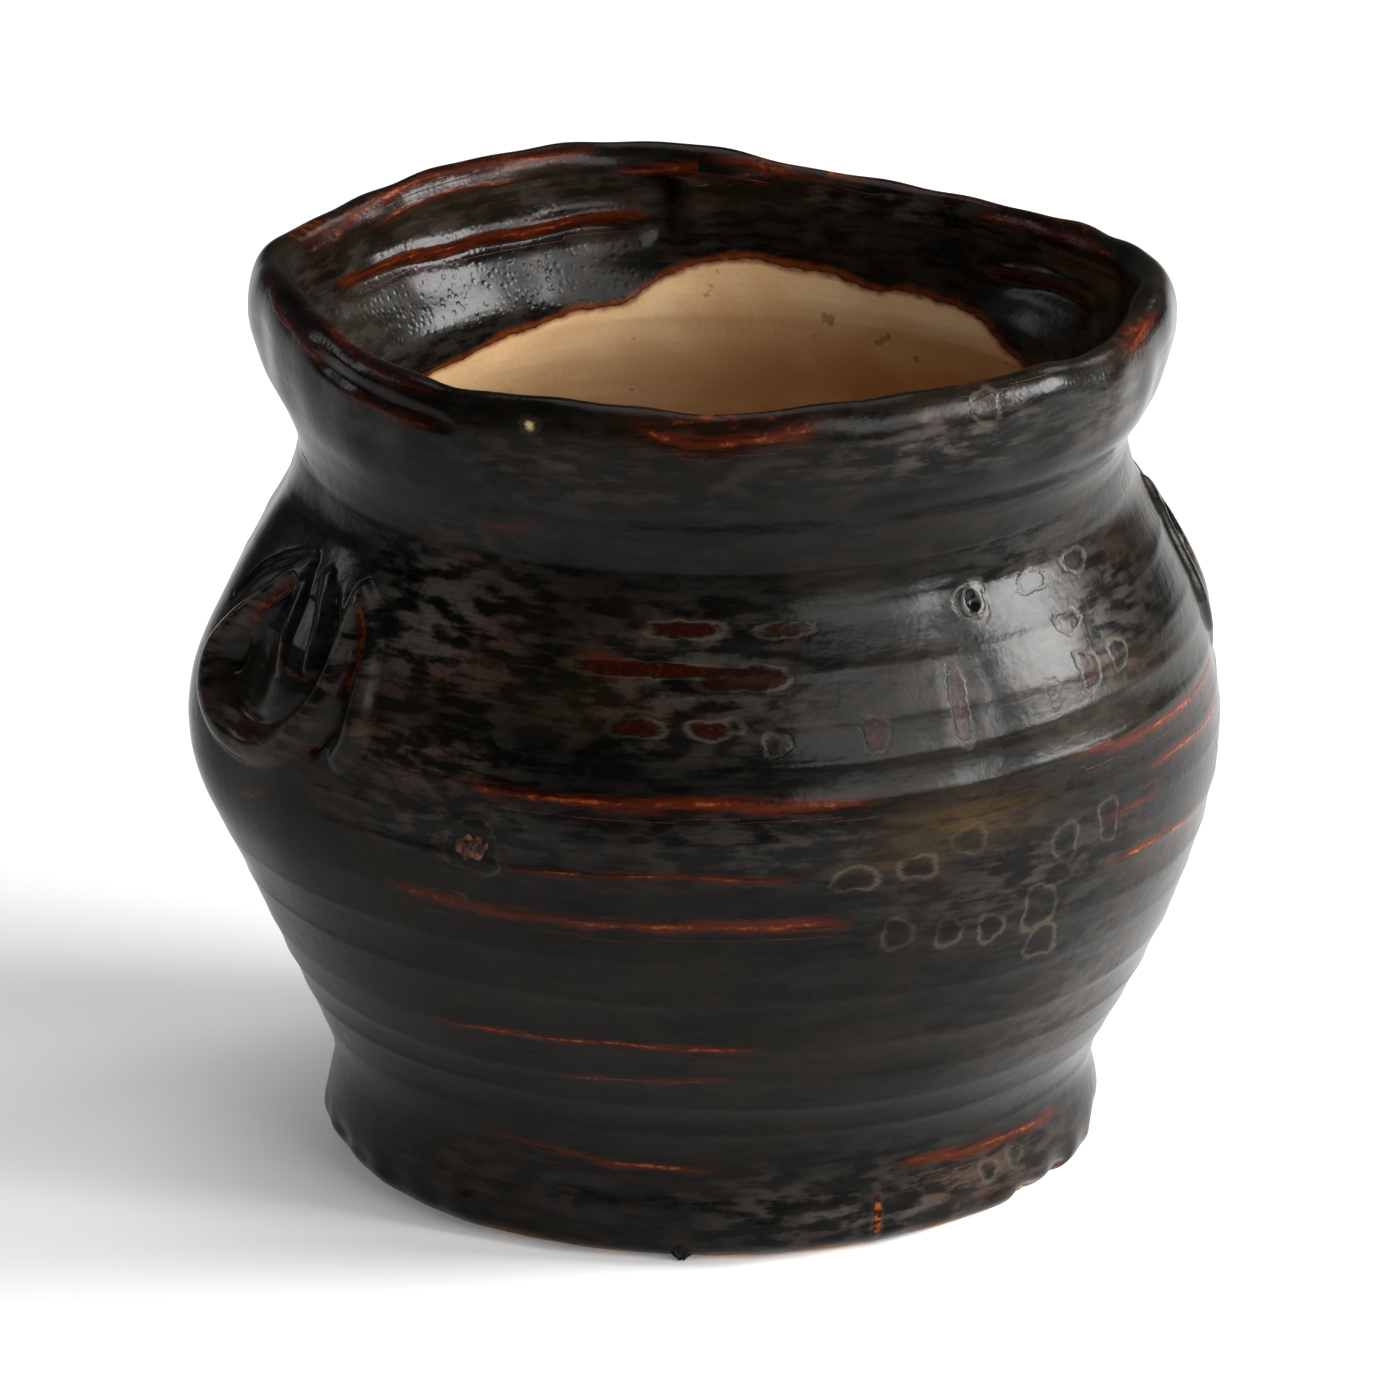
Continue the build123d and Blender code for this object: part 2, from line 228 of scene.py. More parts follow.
# Pale bloom in the glaze: azimuth, height, half width in degrees, half height in mm, strength
HAZES = [
    (-38, 79, 16, 11, 1), (-36, 65, 14, 6, 0.75), (-33, 58, 18, 5, 0.6), (-5, 76, 20, 9, 0.45), (5, 58, 26, 5, 0.28),
    (50, 76, 18, 10, 0.65), (38, 50, 22, 8, 0.32), (52, 30, 16, 14, 0.35), (30, 6, 40, 6, 0.6), (-40, 8, 30, 6, 0.25),
    (30, 103, 20, 4, 0.6), (-18, 101, 24, 5, 0.4), (62, 100, 14, 6, 0.45), (-58, 100, 16, 5, 0.35),
    (160, 102, 60, 5, 0.4), (150, 74, 40, 12, 0.7), (-130, 66, 34, 12, 0.6), (180, 48, 40, 7, 0.5),
    (-150, 24, 50, 10, 0.35), (120, 30, 30, 9, 0.4),
]
# Thin honey-coloured glaze, in the same columns
HONEY_PATCHES = [
    (30, 58.3, 11, 3.4, 1), (20, 55, 7, 2, 0.6), (-62, 61, 6, 5, 0.5), (164, 57, 14, 3.2, 0.8), (226, 66, 9, 3.5, 0.7),
]
# Rust lines along the lip: (azimuth from the camera, mm over the lip's crest, inwards) points, strength, half width
LIP_LINES = [
    ([(-165, 1.7), (-150, 1.2), (-130, 1), (-112, 1.5)], 1, 0.75), ([(-153, 3.8), (-134, 3.3), (-121, 3.6)], 0.7, 0.5),
    ([(163, 1.7), (172, 1.2), (182, 1.7)], 0.95, 0.65), ([(103, 2.2), (118, 1.7), (141, 2.3)], 0.95, 0.65),
    ([(64, -2.8), (72, -2.3), (82, -2.1)], 0.85, 0.9), ([(-88, -1.6), (-78, -3), (-70, -4.2), (-60, -5.2)], 0.85, 0.75),
    ([(-67, -0.8), (-50, -1.7), (-37, -2.2)], 0.6, 0.5), ([(-22, 0.9), (0, 0.4), (24, 1)], 0.6, 0.55),
    ([(120, -3), (150, -2.4), (192, -3.2)], 0.7, 0.7), ([(30, -0.4), (48, 0.2), (62, -0.2)], 0.5, 0.5),
]
# Worn places on the lip: azimuth, half width in degrees, strength
LIP_WEAR = [(-110, 9, 0.4), (-146, 20, 0.3), (172, 8, 0.4), (123, 15, 0.3), (70, 10, 0.3), (0, 16, 0.3), (-60, 18, 0.3)]
# Where the glaze ends inside, as heights round the pot
GLAZE_EDGE = [
    (-175, 94.3), (-168, 91.4), (-160, 89.6), (-150, 88.6), (-140, 88), (-130, 86), (-112, 84.2), (-90, 83.4),
    (-60, 84.6), (-30, 83.2), (0, 84.8), (30, 83.6), (60, 85), (90, 84.4), (110, 86.4), (122, 88.8), (132, 91.2),
    (141, 92.6), (150, 93.2), (162, 94.1), (174, 94.9),
]
# Marks scattered over the sides that the photograph doesn't show
SCATTER_SEED, SCATTER_MARKS = 7, 110
# How far from a rust line its glaze is still coloured
LINE_REACH = 1.9
# Strength of the bloom inside the collar
INNER_BLOOM = 0.12
# Far from any line, mark or glaze edge, and on the bare side of that edge
FAR_LINE, FAR_MARK, FAR_EDGE, UNGLAZED_EDGE = 5.0, 6.0, 6.0, -3.0
# Heights at which the outside is cut into pieces, and the rings of the underside
BODY_SPLITS = (32.0, 62.0)
BASE_RINGS = 60


def rise_between(value, low, high):
    """A soft step from 0 at low to 1 at high."""
    t = np.clip((value - low) / (high - low), 0, 1)
    return t * t * (3 - 2 * t)


def turned(front, middle):
    """Degrees from a middle azimuth, the short way round."""
    return (front - middle + 180) % 360 - 180


def hump(away):
    """A soft round hump of height 1 and half width 1."""
    return np.exp(-away * away * 1.6)


def hand_relief(front, height):
    """How far the outside stands off the smooth profile: slow unevenness and the fingers' grooves."""
    lean = np.radians(front)
    fuller = np.exp(-(((height - FULLER_HEIGHT) / FULLER_HALF_HEIGHT) ** 4))
    fuller *= FULLER_STAND + FULLER_LEAN * np.sin(lean)
    slow = fuller + 0.16 * np.sin(2 * lean + height / 19) + 0.1 * np.sin(5 * lean - height / 11 + 1)
    slow += 0.07 * np.sin(9 * lean + height / 6) * np.sin(height / 7.3)
    for middle, level, half_width, half_height, depth in DENTS:
        across = np.radians(turned(front, middle)) * BELLY_RADIUS
        slow += depth * hump(across / half_width) * hump((height - level) / half_height)
    # the crests aren't quite level, as the thrower's hand wasn't
    crests = [z + 0.35 * np.sin(lean + 1.3 * k) + 0.18 * np.sin(3 * lean + 2.1 * k) for k, z in enumerate(CRESTS)]
    grooves = np.zeros(np.broadcast(front, height).shape)
    for k, (low, high) in enumerate(zip(crests, crests[1:])):
        share = (height - low) / (high - low)
        depth = GROOVE_DEPTH * (0.75 + 0.45 * np.sin(2 * lean + 1.9 * k))
        hollow = -depth * np.sqrt(np.abs(np.sin(np.pi * np.clip(share, 0, 1))))
        grooves = np.where((share > 0) & (share < 1), hollow, grooves)
    fade = rise_between(height, 4, 13) * (1 - rise_between(height, 84, 96))
    return slow * rise_between(height, 0.5, 6) * 0.9 + grooves * fade


def line_height(points, front):
    """Height of a line at each azimuth, and how far inside its ends that is in degrees."""
    first, last = points[0][0], points[-1][0]
    along = (front - min(first, last)) % 360 + min(first, last)
    xs, ys = zip(*sorted(points))
    waver = 0.16 * np.sin(np.radians(along * 9 + 30 * ys[0])) + 0.1 * np.sin(np.radians(along * 23 + 70 * ys[0]))
    inside = np.minimum(along - xs[0], xs[-1] - along)
    return np.interp(along, xs, ys) + waver, inside


def line_fields(front, height, lines):
    """Signed distance to the nearest rust line in line widths, and its strength."""
    shape = np.broadcast(front, height).shape
    at, gain, near = np.full(shape, FAR_LINE), np.zeros(shape), np.full(shape, LINE_REACH)
    for points, strength, width in lines:
        level, inside = line_height(points, front)
        away = height - level
        ends = rise_between(inside, 0, 6)
        here = (np.abs(away) < near) & (ends > 0)
        at = np.where(here, away / width, at)
        gain = np.where(here, strength * ends, gain)
        near = np.where(here, np.abs(away), near)
    return at, gain


def scattered_marks():
    """More marks for the sides that the listed ones leave bare."""
    draw = np.random.default_rng(SCATTER_SEED)
    marks = []
    for _ in range(SCATTER_MARKS):
        front, height = draw.uniform(78, 300), draw.choice([draw.uniform(64, 90), draw.uniform(6, 62)])
        marks.append((front, height, draw.uniform(0.8, 3.2), draw.uniform(0.6, 1.5), draw.choice([0, 0, 0.5, 1, 1.5])))
    return marks


def mark_fields(front, height, radius, marks):
    """Distance from the nearest mark's outline, negative inside, and that mark's kind."""
    shape = np.broadcast(front, height).shape
    at, kind = np.full(shape, FAR_MARK), np.zeros(shape)
    for middle, level, half_width, half_height, sort in marks:
        across = np.radians(turned(front, middle)) * radius
        wobble = 1 + 0.12 * np.sin(3 * np.arctan2(height - level, across) + middle)
        square = 2.0 + (middle * 7 % 3) * 0.7
        ratios = np.abs(across / half_width) ** square + np.abs((height - level) / half_height) ** square
        away = (ratios ** (1 / square) / wobble - 1) * math.sqrt(half_width * half_height)
        at, kind = np.minimum(at, away), np.where(away < at, sort, kind)
    return at, kind


def patch_field(front, height, patches):
    """Strength of soft patches such as the bloom's."""
    total = np.zeros(np.broadcast(front, height).shape)
    for middle, level, half_turn, half_height, strength in patches:
        patch = strength * hump(turned(front, middle) / half_turn) * hump((height - level) / half_height)
        total = np.maximum(total, patch)
    return total


def glaze_fields(front, height, radius, lines, marks):
    """Everything that the glaze's material reads, for points of one surface."""
    line_at, line_gain = line_fields(front, height, lines)
    mark_at, mark_kind = mark_fields(front, height, radius, marks)
    shape = np.broadcast(front, height).shape
    return {"line_at": line_at, "line_gain": line_gain, "mark_at": mark_at, "mark_kind": mark_kind,
            "bloom_and_crest_highlight": patch_field(front, height, HAZES), "wear": np.zeros(shape), "glaze_edge": np.full(shape, FAR_EDGE),
            "pimples": np.zeros(shape), "honey": patch_field(front, height, HONEY_PATCHES)}


def points_of(azimuth, radius, height):
    """Points in the CAD's frame from CAD azimuths in degrees."""
    turn = np.radians(azimuth)
    return np.stack([radius * np.sin(turn), -radius * np.cos(turn), height + 0 * radius], axis=-1)


def grid_normals(points, closed):
    """Outward normals of a grid of points; the columns close on themselves when closed."""
    up = np.gradient(points, axis=0)
    if closed:
        along = np.roll(points, -1, axis=1) - np.roll(points, 1, axis=1)
    else:
        along = np.gradient(points, axis=1)
    normals = np.cross(along, up)
    return normals / np.maximum(np.linalg.norm(normals, axis=-1, keepdims=True), 1e-9)


def grid_piece(name, points, normals, fields, closed=True, keep=None, centre=None):
    """A mesh object from a grid of points, with its normals and material fields."""
    rows, cols = points.shape[:2]
    index = np.arange(rows * cols).reshape(rows, cols)
    last = index if closed else index[:, :-1]
    right = np.roll(index, -1, axis=1) if closed else index[:, 1:]
    quads = np.stack([last[:-1], right[:-1], right[1:], last[1:]], axis=-1).reshape(-1, 4)
    if keep is not None:
        quads = quads[keep.reshape(-1)[quads].any(axis=1)]
        used = np.unique(quads)
        renumber = np.full(rows * cols, -1)
        renumber[used] = np.arange(len(used))
        quads = renumber[quads]
    else:
        used = np.arange(rows * cols)
    vertices, directions = points.reshape(-1, 3)[used], normals.reshape(-1, 3)[used]
    values = {field: array.reshape(-1)[used] for field, array in fields.items()}
    faces = quads.tolist()
    if centre is not None:
        ring = index[-1]
        faces += [[int(a), int(b), len(vertices)] for a, b in zip(ring, np.roll(ring, -1))]
        vertices = np.vstack([vertices, centre])
        directions = np.vstack([directions, normals[-1].mean(axis=0)])
        values = {field: np.append(array, array[-1]) for field, array in values.items()}
    mesh = bpy.data.meshes.new(name)
    mesh.from_pydata((vertices * MM).tolist(), [], faces)
    mesh.shade_smooth()
    for field, array in values.items():
        layer = mesh.attributes.new(field, "FLOAT", "POINT")
        layer.data.foreach_set("value", np.ascontiguousarray(array, dtype=np.float32))
    mesh.normals_split_custom_set_from_vertices(directions.tolist())
    piece = bpy.data.objects.new(name, mesh)
    bpy.context.collection.objects.link(piece)
    return piece


def body_relief(front, radius, height, starts):
    """Displacement of every row of the thrown body."""
    rows = np.arange(height.shape[0])[:, None]
    outside, collar, inside = rows < starts["rim"], rows >= starts["collar"], rows >= starts["inside"]
    relief = np.where(outside, hand_relief(front, height), 0)
    rim_shape, outer_rim = ~outside & ~inside, ~outside & ~collar
    lean = np.radians(front)
    relief += np.where(outer_rim, hand_relief(front, np.minimum(height, 96)), 0)
    lumps = 0.14 * np.sin(11 * lean + height / 3) + 0.1 * np.sin(19 * lean - height / 2 + 2)
    lumps += 0.07 * np.sin(31 * lean)
    relief += np.where(rim_shape, lumps * rise_between(height, 92, 100), 0)
    # the fold that the fingers left under the lip at the near left, and the crease in the back corner
    fold = hump((height - FOLD_HEIGHT + FOLD_LEAN * turned(front, FOLD_PIVOT)) / 1.1)
    fold *= rise_between(FOLD_REACH - np.abs(turned(front, FOLD_AZIMUTH)), 0, 6)
    relief -= np.where(outer_rim, FOLD_DEPTH * fold, 0)
    above = rise_between(height, 95, 99)
    crease = hump(turned(front, CREASE_AZIMUTH) / CREASE_HALF_TURN) * above
    corner = CORNER_STAND * hump(turned(front, CORNER_AZIMUTH) / CORNER_HALF_TURN) * above
    relief += np.where(collar & ~inside, corner - CREASE_DEPTH * crease, 0)
    # the swelling inside the collar that holds the long highlight
    roll = hump((height - ROLL_HEIGHT) / ROLL_HALF_HEIGHT)
    roll *= rise_between(ROLL_REACH - np.abs(turned(front, ROLL_AZIMUTH)), 0, ROLL_FADE)
    relief += np.where(collar, ROLL_STAND * roll, 0)
    # grooves inside the collar, where the fingers pressed the rim in
    for points, strength, _ in INNER_LINES:
        level, ends = line_height(points, front)
        groove = hump((height - level + 1.0) / 1.5) * rise_between(ends, 0, 8)
        lap = hump((height - level - 0.6) / 1.0) * rise_between(ends, 0, 8)
        relief += np.where(collar & (height > 90), (LAP_STAND * lap - LAP_GROOVE * groove) * strength, 0)
    band = np.sin(height / 2.9 + 0.4 * np.sin(lean + 1)) * 0.16 + np.sin(height / 1.3 + lean) * 0.04
    relief += np.where(inside, band * rise_between(height, 8, 20), 0)
    relief += np.where(inside, 0.3 * np.sin(radius / 2.1) * (1 - rise_between(height, 7, 12)), 0)
    # a burst bubble on the shoulder, and the chipped edge of the foot
    bubble = np.hypot(np.radians(turned(front, BUBBLE_AZIMUTH)) * BUBBLE_WALL_RADIUS, height - BUBBLE_HEIGHT)
    bubble = BUBBLE_RING * hump((bubble - 1.3) / 0.7) - BUBBLE_PIT * hump(bubble / 0.7)
    relief += np.where(outside, bubble, 0)
    chips = np.maximum(0, np.sin(13 * lean + 1) + 0.7 * np.sin(29 * lean)) * hump((height - 1.2) / 2.0)
    chips *= hump(turned(front, CHIPS_AZIMUTH) / CHIPS_HALF_TURN)
    relief -= np.where(outside, CHIPS_DEPTH * chips, 0)
    # the glaze's lower edge is a thick uneven roll
    roll = 0.3 * np.sin(7 * lean + 0.5) + 0.22 * np.sin(16 * lean) + 0.15 * np.sin(37 * lean + 2)
    return relief + np.where(outside, roll * hump((height - 3.2) / 2.4), 0)


def build_body():
    """The thrown pot's pieces, which share their rows of points and their normals."""
    azimuth, radius, height, starts = body_grid()
    front = azimuth[None, :] - CAMERA_AZIMUTH
    points = points_of(azimuth[None, :], radius, height)
    shaped = points + grid_normals(points, True) * body_relief(front, radius, height, starts)[..., None]
    shaped[..., 2] = np.maximum(shaped[..., 2], 0)
    normals = grid_normals(shaped, True)
    rows = np.arange(height.shape[0])[:, None]
    outer = glaze_fields(front, height, radius, OUTER_LINES, OUTER_MARKS + scattered_marks())
    inner = glaze_fields(front, height, radius, INNER_LINES, [])
    inner["bloom_and_crest_highlight"] = np.full(height.shape, INNER_BLOOM)
    fields = {name: np.where(rows < starts["collar"], outer[name], inner[name]) for name in outer}
    lip_offset = np.cumsum(np.hypot(np.diff(radius, axis=0), np.diff(height, axis=0)).mean(axis=1))
    lip_offset = np.concatenate([[0], lip_offset])[:, None]
    lip_offset = lip_offset - lip_offset[starts["collar"] - LIP_ROWS]
    lip_at, lip_gain = line_fields(front, lip_offset, LIP_LINES)
    on_lip = (lip_gain > 0) & (np.abs(lip_offset) < 8)
    fields["line_at"] = np.where(on_lip, lip_at, fields["line_at"])
    fields["line_gain"] = np.where(on_lip, lip_gain, fields["line_gain"])
    pimples = hump(turned(front, PIMPLES_AZIMUTH) / PIMPLES_HALF_TURN) * rise_between(lip_offset, 4, 9)
    pimples_on_lip = PIMPLES_ON_LIP * rise_between(6 - np.abs(lip_offset), 0, 3)
    fields["pimples"] = np.maximum(pimples * (rows < starts["inside"] + 12), pimples_on_lip)
    lip_top = np.exp(-(((rows - starts["collar"] + LIP_ROWS) / (LIP_ROWS * 1.1)) ** 2))
    patchy = sum(strength * hump(turned(front, middle) / half) for middle, half, strength in LIP_WEAR)
    fields["wear"] = lip_top * np.clip(patchy + 0.12, 0, 1)
    chipped = hump(turned(front, CHIPS_AZIMUTH) / CHIPS_HALF_TURN) * hump((height - 0.5) / 2.2)
    fields["wear"] += np.where(rows < starts["rim"], chipped, 0)
    edge = smooth_round(*zip(*GLAZE_EDGE), front)
    edge += 0.4 * np.sin(np.radians(front * 11)) + 0.25 * np.sin(np.radians(front * 27 + 40))
    fields["glaze_edge"] = np.where(rows >= starts["collar"], np.clip(height - edge, -FAR_EDGE, FAR_EDGE), FAR_EDGE)
    foot_edge = 0.7 + 0.35 * np.sin(np.radians(front * 9)) + 0.3 * np.sin(np.radians(front * 21 + 50))
    foot_edge = np.clip((height - foot_edge) * 1.5, -FAR_EDGE, FAR_EDGE)
    fields["glaze_edge"] = np.where(rows < starts["rim"], foot_edge, fields["glaze_edge"])
    low, high = np.searchsorted(height[:starts["rim"], 0], BODY_SPLITS)
    spans = [("pot_foot", 0, low), ("pot_belly", low, high), ("pot_shoulder", high, starts["rim"]),
             ("pot_rim", starts["rim"], starts["inside"])]
    for name, first, last in spans:
        part = slice(first, last + 1)
        yield grid_piece(name, shaped[part], normals[part], {k: v[part] for k, v in fields.items()})
    part = np.s_[starts["inside"]:, ::2]
    floor_middle = shaped[-1].mean(axis=0)
    cut = {k: v[part] for k, v in fields.items()}
    yield grid_piece("pot_inside", shaped[part], normals[part], cut, centre=floor_middle)
    yield build_base(azimuth, shaped[0], fields)


def build_base(azimuth, rim_points, fields):
    """The unglazed underside, with the marks of the tool that trimmed it."""
    share = np.linspace(1, 0.012, BASE_RINGS)[:, None]
    radius = share * np.hypot(rim_points[:, 0], rim_points[:, 1])[None, :]
    rise = TRIM_DEPTH * (1 - np.cos(radius / TRIM_SPACING)) * rise_between(1 - share, 0, 0.05)
    points = points_of(azimuth[None, :], radius, rise)[:, ::2]
    flat = {name: np.zeros(points.shape[:2]) for name in fields}
    flat["glaze_edge"] += UNGLAZED_EDGE + 3.2 * (share > 0.985)
    flat["line_at"] += FAR_LINE
    flat["mark_at"] += FAR_MARK
    return grid_piece("pot_base", points, grid_normals(points, True), flat, centre=points[-1].mean(axis=0))


# Lugs: strands of clay as (azimuth from the camera, height, stand above the wall), then their half width
LEFT_MIDDLE, RIGHT_MIDDLE = -62.0, 108.0
LUG_STRANDS = [
    ([(-64, 79.6, 0.7), (-65, 78, 1.7), (-66.5, 75.8, 2.5), (-68.6, 73.2, 3.1), (-71, 70.2, 3.9),
      (-72.6, 66.5, 4.7), (-71.6, 62.8, 4.9), (-68, 60, 4.4), (-62.5, 59.2, 3.4), (-57.5, 60.6, 3),
      (-54, 63.2, 2.8), (-51.2, 66.6, 2.6), (-49.9, 70.2, 2.4), (-49.7, 74, 2.2), (-50.2, 77, 1.9),
      (-50.6, 79, 1.1)], 2.1),
    ([(-50.6, 79.2, 1.3), (-48.4, 77.8, 1.7), (-46.6, 74.6, 1.6), (-45.6, 71.6, 1.6), (-44.9, 68.4, 2),
      (-45.1, 65.2, 1.9), (-46.8, 62, 1)], 1.55),
    ([(-63.6, 79.2, 0.5), (-62, 76, 1.1), (-61.2, 72.4, 1.2), (-60.2, 69.4, 0.9)], 1.6),
    ([(-58.6, 79.5, 0.4), (-56.6, 76.8, 0.9), (-55.2, 73.6, 0.9), (-54.6, 70.6, 0.6)], 1.4),
]
# Swellings and hollows: azimuth, height, half width and half height in mm, height
LUG_SWELLS = [
    (-76, 59.5, 11, 15, 3.9), (-79, 79, 9, 7, 1), (-60, 51.5, 13, 8.5, 1.7), (-58.5, 67, 10, 11, 1.1),
    (-65.5, 66.8, 4.4, 5.6, -1.6),
]
# Cuts: points, half width, depth
LUG_CUTS = [
    ([(-65, 77), (-67.2, 73.6), (-69.2, 70), (-69.6, 66.5)], 1.2, 1.2),
    ([(-55.6, 78.2), (-53.2, 74.5), (-52.9, 70.2), (-54.6, 66), (-58.5, 62.5), (-63.5, 61.4), (-68, 62.2)],
     1.3, 0.65),
    ([(-49, 77.4), (-47.4, 75.2), (-46.8, 72.2), (-47.3, 69.4)], 1.1, 0.8),
    ([(-47, 68.4), (-48.2, 65.4), (-50.6, 62.4)], 1.1, 0.7),
    ([(-64.6, 80.8), (-68.5, 79.4), (-73, 76.3), (-75.4, 72.5)], 0.8, 0.5),
]
LUG_RUST = [
    ([(-48.8, 77.6), (-47.2, 75.4), (-46.8, 72.4), (-47.6, 70.4)], 1.3, 1),
    ([(-64.6, 77.6), (-66.6, 74.4), (-68.2, 72)], 1.1, 0.9), ([(-61.4, 74), (-61.2, 73)], 0.8, 0.7),
    ([(-60.6, 71.2), (-60, 69.5), (-56.8, 68.9), (-54.2, 68.9)], 0.6, 0.85), ([(-71, 62.8), (-68.8, 60.8)], 1.2, 0.6),
    ([(-59, 62.3), (-63.5, 61.2), (-67.5, 61.8)], 0.6, 0.7), ([(-50.5, 62.5), (-53.5, 60.4)], 0.8, 0.65),
    ([(-63.2, 53), (-58.6, 54.4)], 1, 0.7), ([(-52.4, 78.4), (-52.4, 75)], 0.8, 0.45),
]
LUG_REACH, LUG_LOW, LUG_HIGH, LUG_CELL = (-34.0, 25.0), 33.0, 89.0, 0.27
# The last of these is the strength of a painted highlight along each lug's loop, laid in as pale bloom
RIGHT_FLAT, JOIN_DIP, LUG_RUST_SHARE, LUG_CREST_HIGHLIGHT = 0.55, 0.08, 0.68, 0.8
# A strand is round over this share of its half width, then falls straight and blends into the clay beside it
STRAND_ROUND, STRAND_SKIRT_SLOPE, STRAND_BLEND = 0.92, 2.0, 1.6


def path_distance(front, height, points):
    """Distance in mm from a path of (azimuth, height, ...), and the path's third value at the nearest point."""
    path = np.array([(*point, 0)[:3] for point in points], float)
    spots = np.linspace(0, len(path) - 1, 12 * (len(path) - 1) + 1)
    fine = np.stack([smooth_through(np.arange(len(path)), path[:, i], spots) for i in range(3)], axis=-1)
    nearest, value = np.full(front.shape, 1e9), np.zeros(front.shape)
    for (a0, z0, s0), (a1, z1, s1) in zip(fine, fine[1:]):
        dx, dz = np.radians(a1 - a0) * BELLY_RADIUS, z1 - z0
        px, pz = np.radians(front - a0) * BELLY_RADIUS, height - z0
        t = np.clip((px * dx + pz * dz) / (dx * dx + dz * dz + 1e-12), 0, 1)
        away = np.hypot(px - t * dx, pz - t * dz)
        value = np.where(away < nearest, s0 + (s1 - s0) * t, value)
        nearest = np.minimum(nearest, away)
    return nearest, value


def blend_max(a, b, soft):
    """The larger of two heights, rounded where they cross."""
    share = np.clip(0.5 + 0.5 * (a - b) / soft, 0, 1)
    return b + (a - b) * share + soft * share * (1 - share)


def lug_height_map(front, height):
    """How far the left lug stands off the wall."""
    stand = np.zeros(front.shape)
    for middle, level, half_width, half_height, tall in LUG_SWELLS:
        across = np.radians(front - middle) * BELLY_RADIUS
        stand += tall * np.exp(-((np.hypot(across / half_width, (height - level) / half_height)) ** 2.2))
    for points, half_width in LUG_STRANDS:
        away, crest = path_distance(front, height, points)
        round_top = np.sqrt(np.maximum(half_width**2 - away**2, 0)) - half_width
        skirt = -half_width * 0.61 - (away - half_width * STRAND_ROUND) * STRAND_SKIRT_SLOPE
        strand = crest + np.where(away < half_width * STRAND_ROUND, round_top, skirt)
        stand = blend_max(strand, stand, STRAND_BLEND)
    for points, half_width, depth in LUG_CUTS:
        away, _ = path_distance(front, height, points)
        stand -= depth * hump(away / half_width) * rise_between(stand, 0.0, 0.8)
    return stand


def build_lug(name, middle, side, flat):
    """One lug as a fine patch that rises out of the wall; the right one is the left one's mirror, pressed flatter."""
    across = np.arange(LUG_REACH[0], LUG_REACH[1], LUG_CELL)[::side] * side
    level = np.arange(LUG_LOW, LUG_HIGH, LUG_CELL)
    front, height = np.meshgrid(middle + np.degrees(across / BELLY_RADIUS), level)
    as_left = LEFT_MIDDLE + (front - middle) * side
    stand = lug_height_map(as_left, height) * flat
    dip = stand - JOIN_DIP * (1 - rise_between(stand, 0.0, 0.3))
    wall = wall_radius(height)
    points = points_of(front + CAMERA_AZIMUTH, wall, height)
    slope = grid_normals(points, False)
    shaped = points + slope * (hand_relief(front, height) * (1 - 0.8 * rise_between(stand, 0, 1.5)) + dip)[..., None]
    fields = glaze_fields(front, height, BELLY_RADIUS, OUTER_LINES, OUTER_MARKS + scattered_marks())
    calm = 1 - rise_between(stand, 0.1, 0.8)
    fields["line_gain"] *= calm
    fields["mark_at"] += FAR_MARK * (1 - calm)
    # a painted highlight along the loop's crest, laid into the glaze's pale bloom
    ridge, _ = path_distance(as_left, height, LUG_STRANDS[0][0])
    fields["bloom_and_crest_highlight"] = np.maximum(fields["bloom_and_crest_highlight"], LUG_CREST_HIGHLIGHT * hump(ridge / 1.9))
    for points, half_width, strength in LUG_RUST:
        gap, _ = path_distance(as_left, height, points)
        fields["wear"] = np.maximum(fields["wear"], LUG_RUST_SHARE * strength * hump(gap / half_width))
    return grid_piece(name, shaped, grid_normals(shaped, False), fields, closed=False, keep=stand > 0.04)


def pebble(name, azimuth, radius, level, half_sizes, seed_turn, tail=0.0):
    """A small lump on the wall, a little uneven: half sizes across, upright and outwards. A tail narrows its top,
    or its foot when it is negative."""
    turn = np.linspace(0, 360, PEBBLE_COLUMNS + 1)[:-1]
    tilt = np.linspace(-89, 89, PEBBLE_ROWS)[:, None]
    uneven = 1 + 0.1 * np.sin(np.radians(3 * turn + seed_turn)) * np.cos(np.radians(tilt * 2))
    uneven += 0.07 * np.sin(np.radians(5 * turn + 3 * tilt + seed_turn))
    uneven += 0.05 * np.cos(np.radians(8 * turn - 4 * tilt))
    across = np.cos(np.radians(tilt)) * np.sin(np.radians(turn)) * uneven * half_sizes[0]
    outward = np.cos(np.radians(tilt)) * np.cos(np.radians(turn)) * uneven * half_sizes[2]
    upright = np.sin(np.radians(tilt)) * uneven * half_sizes[1]
    across = across * (1 - abs(tail) * np.clip(upright / half_sizes[1] * math.copysign(1, tail), 0, 1))
    out, side = points_of(azimuth, 1.0, 0), points_of(azimuth + 90, 1.0, 0)
    middle = points_of(azimuth, radius, level)
    points = middle + outward[..., None] * out + across[..., None] * side + upright[..., None] * (0, 0, 1)
    points[..., 2] = np.maximum(points[..., 2], 0.05)
    far = {"line_at": FAR_LINE, "mark_at": FAR_MARK, "glaze_edge": FAR_EDGE}
    fields = {field: np.full(points.shape[:2], value) for field, value in far.items()}
    return grid_piece(name, points, grid_normals(points, True), fields, centre=points[-1].mean(axis=0))


